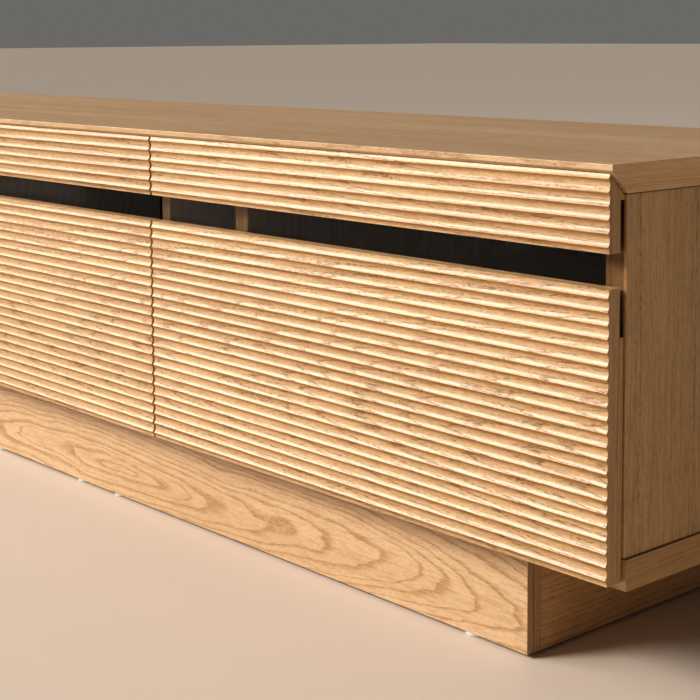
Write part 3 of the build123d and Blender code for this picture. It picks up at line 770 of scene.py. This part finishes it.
class CABINET_OT_doors(bpy.types.Operator):
    """Scalloped strips and boards of the doors"""
    bl_idname = "cabinet.doors"
    bl_label = "Door boards"

    def execute(self, context):
        doors = context.scene.cabinet_doors
        for index, name in enumerate(DOORS):
            self.strip(name, index, doors)
            self.board(name, index, doors)
        return {"FINISHED"}

    def build(self, node, name, outline, first, count, doors, **grain):
        """A board from the outline of all but its whole hollows, which start at a first ridge."""
        low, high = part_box(node)
        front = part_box("top_board")[0].y
        values = {
            "Start": (front, first, 0.0), "Scallops": count, "Pitch": doors.pitch,
            "Depth": doors.depth, "Land": doors.land, "Arc Steps": doors.arc_steps,
            "Length": high.x - low.x, "End": low.x,
            # The door oak gets painted shade in its hollows and under each ridge
            "Finish": oak(node, hollow=(front, front + doors.depth), **grain, **DOOR_OAK),
        }
        tree = shared_group("Scalloped board", scallops_tree)
        base = outline_mesh(node + "_outline", outline)
        piece = apply_tree(node + "_scalloped", base, tree, values, 24)
        finish_piece(piece, "door_" + name, "oak_scalloped", node)

    def strip(self, name, index, doors):
        """The upper strip, whose top edge is cut parallel to the bevel of the top board."""
        node = "door_strip_" + name
        low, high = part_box(node)
        glass_low, glass_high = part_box("door_glass_" + name)
        top_low, top_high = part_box("top_board")
        front = top_low.y
        point = top_high.z - doors.nose - doors.mitre_gap
        first = low.z + doors.pitch / 2
        count = int((high.z - first) / doors.pitch)
        last = first + count * doors.pitch
        centre = last + doors.pitch / 2
        lower, upper = last, last + doors.pitch
        while upper - lower > 0.001 * MM:
            middle = (lower + upper) / 2
            if hollow_offset(middle, centre, doors) < point - middle:
                lower = middle
            else:
                upper = middle
        outline = [(front, last - doors.land / 2)]
        outline += hollow_run(last + doors.land / 2, lower, centre, front, doors)
        outline += [
            (high.y, point - (high.y - front)), (high.y, glass_high.z),
            (glass_low.y, glass_high.z), (glass_low.y, low.z),
        ]
        outline += hollow_run(low.z, first - doors.land / 2, low.z, front, doors)
        self.build(
            node, name, outline, first, count, doors, tilt=0.02, ring=0.0042, wander=0.018,
            seed=3.1 + index, heart=(0.3 * index, low.y + 0.16, low.z + 0.11),
        )

    def board(self, name, index, doors):
        """The lower board, with the rebate of the glass in its back."""
        node = "door_board_" + name
        low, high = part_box(node)
        glass_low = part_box("door_glass_" + name)[0]
        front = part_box("top_board")[0].y
        last = high.z - doors.ridge_drop
        count = int((last - low.z) / doors.pitch)
        first = last - count * doors.pitch
        centre = last + doors.pitch / 2
        outline = [(front, last - doors.land / 2)]
        outline += hollow_run(last + doors.land / 2, high.z, centre, front, doors)
        outline += [
            (glass_low.y, high.z), (glass_low.y, glass_low.z),
            (high.y, glass_low.z), (high.y, low.z),
        ]
        centre = first - doors.pitch / 2
        outline += hollow_run(low.z, first - doors.land / 2, centre, front, doors)
        self.build(
            node, name, outline, first, count, doors, tilt=0.05, ring=0.0045, wander=0.022,
            seed=7.7 + index, heart=(0.2 * index, low.y + 0.12, low.z + 0.10),
        )


class CABINET_OT_glass(bpy.types.Operator):
    """Smoked glass plates with polished edges"""
    bl_idname = "cabinet.glass"
    bl_label = "Glass"

    def execute(self, context):
        fittings = context.scene.cabinet_fittings
        material = smoked_glass("smoked_glass", fittings.glass)
        for name in DOORS:
            node = "door_glass_" + name
            low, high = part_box(node)
            piece = shown(node + "_plate", block_mesh(node, low, high, fittings.ease), material)
            finish_piece(piece, "door_" + name, "smoked_glass", node)
        return {"FINISHED"}


class CABINET_OT_screws(bpy.types.Operator):
    """Screws of the glass, hinges, strike plates and plinth"""
    bl_idname = "cabinet.screws"
    bl_label = "Screws"

    def execute(self, context):
        material = metal("screw_zinc", context.scene.cabinet_fittings.zinc)
        for name in DOORS:
            body = "door_" + name
            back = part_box("door_glass_" + name)[1].y
            node = "glass_screws_" + name
            self.place(node, body, material, FACE_BACK, False, lambda low, high: back)
            node = "door_screws_" + name
            self.place(node, body, material, FACE_BACK, True, lambda low, high: high.y)
        node = "hinge_frame_screws"
        self.place(node, "carcass", material, FACE_FRONT, True, lambda low, high: low.y)
        return {"FINISHED"}

    def place(self, node, body, material, turn, countersunk, seat):
        """Screws in all places of a node; seat gives the depth at which a head's face sits."""
        found = islands(node)
        low, high = found[0]
        head_radius = (high.x - low.x) / 2
        shank = 1.5 * MM
        if countersunk:
            head_height = head_radius - shank
            length = high.y - low.y
        else:
            head_height = high.y - seat(low, high)
            length = high.y - low.y - head_height
        one = screw(node + "_head", head_radius, head_height, countersunk, shank, length)
        places = []
        for low, high in found:
            middle = (low + high) / 2
            places.append((middle.x, seat(low, high), middle.z))
        piece = scatter(node + "_driven", one, places, turn, material)
        finish_piece(piece, body, "zinc_screw", node)


class CABINET_OT_hinges(bpy.types.Operator):
    """Finish of the hinge leaves and pins"""
    bl_idname = "cabinet.hinges"
    bl_label = "Hinges"

    def execute(self, context):
        material = metal("hinge_nickel", context.scene.cabinet_fittings.steel)
        for node in ["hinge_frame_leaves", "hinge_pins"] + ["hinge_door_leaves_" + n for n in DOORS]:
            set_finish(node, material)
        return {"FINISHED"}


class CABINET_OT_catches(bpy.types.Operator):
    """Magnetic catches, strike plates and bumpers"""
    bl_idname = "cabinet.catches"
    bl_label = "Catches"

    def execute(self, context):
        fittings = context.scene.cabinet_fittings
        case = plastic("catch_case", (0.075, 0.05, 0.03))
        steel = metal("strike_steel", fittings.steel)
        cases, poles = [], []
        proud = Vector((0, 0.8 * MM, 0))
        pole_inset = 3 * MM
        pole = Vector((8 * MM, 6 * MM, 2.6 * MM))
        for low, high in islands("magnet_catches"):
            cases.append(block_mesh("catch", low + proud, high, 1.2 * MM, 4))
            for share in (0.22, 0.62):
                corner = Vector((low.x + pole_inset, low.y, low.z + share * (high.z - low.z)))
                poles.append(block_mesh("pole", corner, corner + pole, 0.2 * MM, 2))
        piece = shown("magnet_catch_cases", joined("magnet_catch_cases", cases), case)
        finish_piece(piece, "carcass", "catch_plastic", "magnet_catches")
        piece = shown("magnet_catch_poles", joined("magnet_catch_poles", poles), steel)
        finish_piece(piece, "carcass", "steel_plate")
        soft = plastic("bumper_soft", (0.52, 0.50, 0.46), 0.05)
        for name in DOORS:
            set_finish("strike_plates_" + name, steel)
            node = "door_bumpers_" + name
            found = islands(node)
            low, high = found[0]
            dome = soft_pad("bumper", high.x - low.x, high.y - low.y, 32)
            places = [((a.x + b.x) / 2, a.y, (a.z + b.z) / 2) for a, b in found]
            piece = scatter(node + "_domes", dome, places, FACE_BACK, soft, 50)
            finish_piece(piece, "door_" + name, "bumper_rubber", node)
        return {"FINISHED"}


def joined(name, meshes):
    """One mesh from several, which are removed."""
    work = bmesh.new()
    for mesh in meshes:
        work.from_mesh(mesh)
        bpy.data.meshes.remove(mesh)
    return clean(mesh_from(name, work), 60)


class CABINET_OT_fittings(bpy.types.Operator):
    """Cable outlets, cam nuts, shelf pins, floor glides and hidden joints"""
    bl_idname = "cabinet.fittings"
    bl_label = "Fittings"

    def execute(self, context):
        fittings = context.scene.cabinet_fittings
        self.outlets(fittings)
        self.glides(fittings)
        self.cams(fittings)
        set_finish("shelf_pins", metal("pin_steel", fittings.steel))
        zinc = metal("cam_bolt_zinc", fittings.zinc)
        set_finish("cam_bolts", zinc)
        set_finish("plinth_screws", zinc)
        beech = oak("dowel_beech", grain="Z", pale=(0.62, 0.44, 0.27), contrast=0.4)
        set_finish("dowels", beech)
        return {"FINISHED"}

    def outlets(self, fittings):
        material = plastic("outlet_black", fittings.black)
        for name in DOORS:
            node = "cable_grommet_" + name
            low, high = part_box(node)
            rim = (high.z - low.z) / 2
            depth = high.y - low.y
            bore = rim - 8 * MM
            hole = rim - 5 * MM
            flange = 2 * MM
            ease = 0.8 * MM
            profile = [
                (bore + ease, 0), (rim - ease, 0), (rim - 0.3 * ease, 0.3 * ease), (rim, ease),
                (rim, flange), (hole, flange), (hole, depth - ease), (hole - ease, depth),
                (bore + ease, depth), (bore, depth - ease), (bore, ease),
                (bore + 0.3 * ease, 0.3 * ease),
            ]
            ring = clean(mesh_from(node, lathe(profile, 72)), 40)
            middle = (low + high) / 2
            turned = Matrix.Rotation(-QUARTER, 4, "X")
            ring.transform(Matrix.Translation((middle.x, low.y, middle.z)) @ turned)
            piece = shown(node + "_ring", ring, material)
            finish_piece(piece, "carcass", "grommet_plastic", node)

    def glides(self, fittings):
        found = islands("floor_glides")
        low, high = found[0]
        pad = soft_pad("glide", high.x - low.x, high.z - low.z, 48)
        places = [((a.x + b.x) / 2, (a.y + b.y) / 2, b.z) for a, b in found]
        material = plastic("glide_pale", fittings.glide)
        piece = scatter("floor_glides_pads", pad, places, FACE_DOWN, material, 50)
        finish_piece(piece, "carcass", "glide_plastic", "floor_glides")

    def cams(self, fittings):
        material = metal("cam_zinc", fittings.zinc)
        facing_left, facing_right = [], []
        for low, high in islands("cam_nuts"):
            middle = (low + high) / 2
            if self.opens_left(low, high):
                facing_left.append((low.x, middle.y, middle.z))
            else:
                facing_right.append((high.x, middle.y, middle.z))
        radius = (high.z - low.z) / 2
        one = screw("cam_head", radius, 1.2 * MM, True, radius * 0.95, 12 * MM)
        other = one.copy()
        right = scatter("cam_nuts_right_faces", one, facing_right, FACE_RIGHT, material)
        left = scatter("cam_nuts_left_faces", other, facing_left, FACE_LEFT, material)
        finish_piece(right, "carcass", "cam_zinc", "cam_nuts")
        finish_piece(left, "carcass", "cam_zinc", "cam_nuts")

    def opens_left(self, low, high):
        """True where a cam nut's open face looks to the left."""
        for side in SIDES:
            for kind in ("side_panel_", "divider_", "partition_"):
                board_low, board_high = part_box(kind + side)
                if board_low.x - MM < low.x and high.x < board_high.x + MM:
                    return abs(low.x - board_low.x) < abs(high.x - board_high.x)
        raise RuntimeError("a cam nut sits in no board")


class CABINET_OT_boards(bpy.types.Operator):
    """Oak of the carcass, shelves and plinth"""
    bl_idname = "cabinet.boards"
    bl_label = "Boards"

    def execute(self, context):
        wood = context.scene.cabinet_wood
        back = CAD_BOX[1].y
        # The top board's end faces are lightened as painted light
        self.lay(
            "top_board", "oak_top", heart=(0, back + 0.55, 0.30), ring=0.0048, wander=0.020,
            seed=1.0, pale=(0.58, 0.39, 0.225), contrast=0.9, pore_cover=0.6, rough=0.38,
            band="Y", band_tone=1.6,
        )
        self.lay(
            "bottom_board", "oak_bottom", heart=(0, back + 0.5, 0.02), ring=0.0046, wander=0.012,
            seed=2.0, contrast=0.6, band="Y",
        )
        for index, side in enumerate(SIDES):
            panel_low, panel_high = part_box("side_panel_" + side)
            # Side panels get a painted shade line at their joints with the top and bottom boards
            self.lay(
                "side_panel_" + side, "oak_side_" + side, grain="Z", heart=(0.05, back + 0.45, 0),
                ring=0.0026, wander=0.010, seed=4.0 + index, contrast=0.4,
                pale=(0.72, 0.455, 0.225), pore_cover=0.5, seams=(panel_low.z, panel_high.z),
            )
            for kind in ("divider_", "partition_"):
                self.lay(
                    kind + side, "oak_" + kind + side, grain="Z", heart=(0.05, back + 0.3, 0),
                    ring=0.0042, wander=0.014, seed=5.0 + index, pale=wood.inner, contrast=0.5,
                )
            self.lay(
                "plinth_side_" + side, "oak_plinth_side_" + side, grain="Y",
                heart=(0.9, 0, -0.02), ring=0.006, wander=0.02, seed=6.0 + index, contrast=0.7,
            )
            self.lay(
                "plinth_rail_" + side, "spruce_rail_" + side, grain="Y", heart=(0.1, 0, 0.02),
                ring=0.003, seed=8.0 + index, pale=(0.66, 0.45, 0.25), contrast=0.45,
            )
        for index, name in enumerate(DOORS):
            self.lay(
                "shelf_" + name, "oak_shelf_" + name, heart=(0.4 * index, back + 0.3, 0.1),
                wander=0.015, seed=10.0 + index, pale=wood.stained, contrast=0.5,
            )
            self.lay(
                "back_panel_" + name, "ply_back_" + name, heart=(0.5 * index, back + 0.12, 0.28),
                tilt=0.03, ring=0.009, wander=0.03, seed=13.0 + index, pale=wood.stained, contrast=0.4,
            )
        # The plinth boards' end faces are darkened as painted shade
        for index, node in enumerate(("plinth_front", "plinth_back")):
            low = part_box(node)[0]
            self.lay(
                node, "oak_" + node, heart=(-0.2, low.y + 0.030, low.z + 0.035), tilt=0.085,
                ring=0.0056, wander=0.040, seed=16.0 + index, contrast=1.15,
                pale=(0.60, 0.405, 0.235), band="Z", band_tone=0.80,
            )
        return {"FINISHED"}

    def lay(self, node, name, **grain):
        """Gives a board its own oak."""
        set_finish(node, oak(name, **grain))


class CABINET_OT_stage(bpy.types.Operator):
    """Plain floor, soft light and the camera"""
    bl_idname = "cabinet.stage"
    bl_label = "Stage"

    def execute(self, context):
        scene = context.scene
        stage = scene.cabinet_stage
        scene.view_settings.view_transform = "Standard"
        scene.view_settings.look = "Medium High Contrast"
        self.floor(stage)
        self.lights(scene, stage)
        camera = bpy.data.cameras.new("Camera")
        camera.lens = stage.lens
        camera.sensor_width = 36.0
        camera.shift_y = stage.shift
        camera.dof.use_dof = False
        camera.clip_start = 0.01
        holder = object_from("Camera", camera)
        holder.location = stage.place
        holder.rotation_euler = stage.turn
        scene.camera = holder
        return {"FINISHED"}

    def floor(self, stage):
        half = 60.0
        mesh = bpy.data.meshes.new("floor")
        corners = [(-half, -half, 0), (half, -half, 0), (half, half, 0), (-half, half, 0)]
        mesh.from_pydata(corners, [], [(0, 1, 2, 3)])
        floor = object_from("floor", mesh)
        material, sheet, coordinates, shader = start_material("floor_pale")
        cloud = sheet.noise(coordinates.outputs["Object"], (3.0, 3.0, 3.0), 3.0)
        tint = Vector(stage.floor)
        shade = sheet.mix(sheet.ramp(cloud, 0.3, 0.7), opaque(tint), opaque(tint * 0.985))
        sheet.tree.links.new(shade, shader.inputs["Base Color"])
        shader.inputs["Roughness"].default_value = 0.55
        mesh.materials.append(material)

    def light(self, name, kind, energy, rgb, aim):
        """A light that shines along an aim."""
        light = bpy.data.lights.new(name, kind)
        light.energy = energy
        light.color = rgb
        holder = object_from(name, light)
        holder.rotation_euler = aim.to_track_quat("-Z", "Y").to_euler()
        return holder

    def lights(self, scene, stage):
        aim = Vector((0.46, 0.72, -0.52))
        key = self.light("Key", "SUN", stage.key, (1.0, 0.97, 0.92), aim)
        key.data.angle = math.radians(20)
        middle = Vector((0.7, -0.2, 0.25))
        away = Vector((-0.72, -0.50, 0.48))
        distance = 6.0
        window = self.light("Window", "AREA", stage.window, (1.0, 0.98, 0.95), -away)
        window.data.shape = "RECTANGLE"
        window.data.size = 3.6
        window.data.size_y = 2.2
        window.location = middle + distance * away.normalized()
        world = bpy.data.worlds.new("Surround")
        world.use_nodes = True
        background = world.node_tree.nodes["Background"]
        background.inputs["Color"].default_value = opaque(stage.wall)
        background.inputs["Strength"].default_value = stage.fill
        scene.world = world


class CABINET_PT_panel(bpy.types.Panel):
    """Lists the cabinet's settings and pieces"""
    bl_idname = "CABINET_PT_panel"
    bl_label = "Media cabinet"
    bl_space_type = "VIEW_3D"
    bl_region_type = "UI"
    bl_category = "Cabinet"

    def draw(self, context):
        for label, group in SETTING_GROUPS.items():
            settings = getattr(context.scene, label)
            column = self.layout.column(heading=label)
            for key in group.__annotations__:
                column.prop(settings, key)
        for operator in OPERATORS:
            self.layout.operator(operator.bl_idname)


SETTING_GROUPS = {
    "cabinet_doors": CabinetDoorSettings,
    "cabinet_wood": CabinetWoodSettings,
    "cabinet_fittings": CabinetFittingSettings,
    "cabinet_stage": CabinetStageSettings,
}
OPERATORS = (
    CABINET_OT_boards, CABINET_OT_doors, CABINET_OT_glass, CABINET_OT_screws,
    CABINET_OT_hinges, CABINET_OT_catches, CABINET_OT_fittings, CABINET_OT_stage,
)


def register():
    for group in SETTING_GROUPS.values():
        bpy.utils.register_class(group)
    for label, group in SETTING_GROUPS.items():
        setattr(bpy.types.Scene, label, PointerProperty(type=group))
    for cls in (*OPERATORS, CABINET_PT_panel):
        bpy.utils.register_class(cls)


def unregister():
    for cls in (CABINET_PT_panel, *reversed(OPERATORS)):
        bpy.utils.unregister_class(cls)
    for label in SETTING_GROUPS:
        delattr(bpy.types.Scene, label)
    for group in SETTING_GROUPS.values():
        bpy.utils.unregister_class(group)


def main():
    register()
    for operator in OPERATORS:
        group, name = operator.bl_idname.split(".")
        getattr(getattr(bpy.ops, group), name)()


if __name__ == "__main__":
    main()
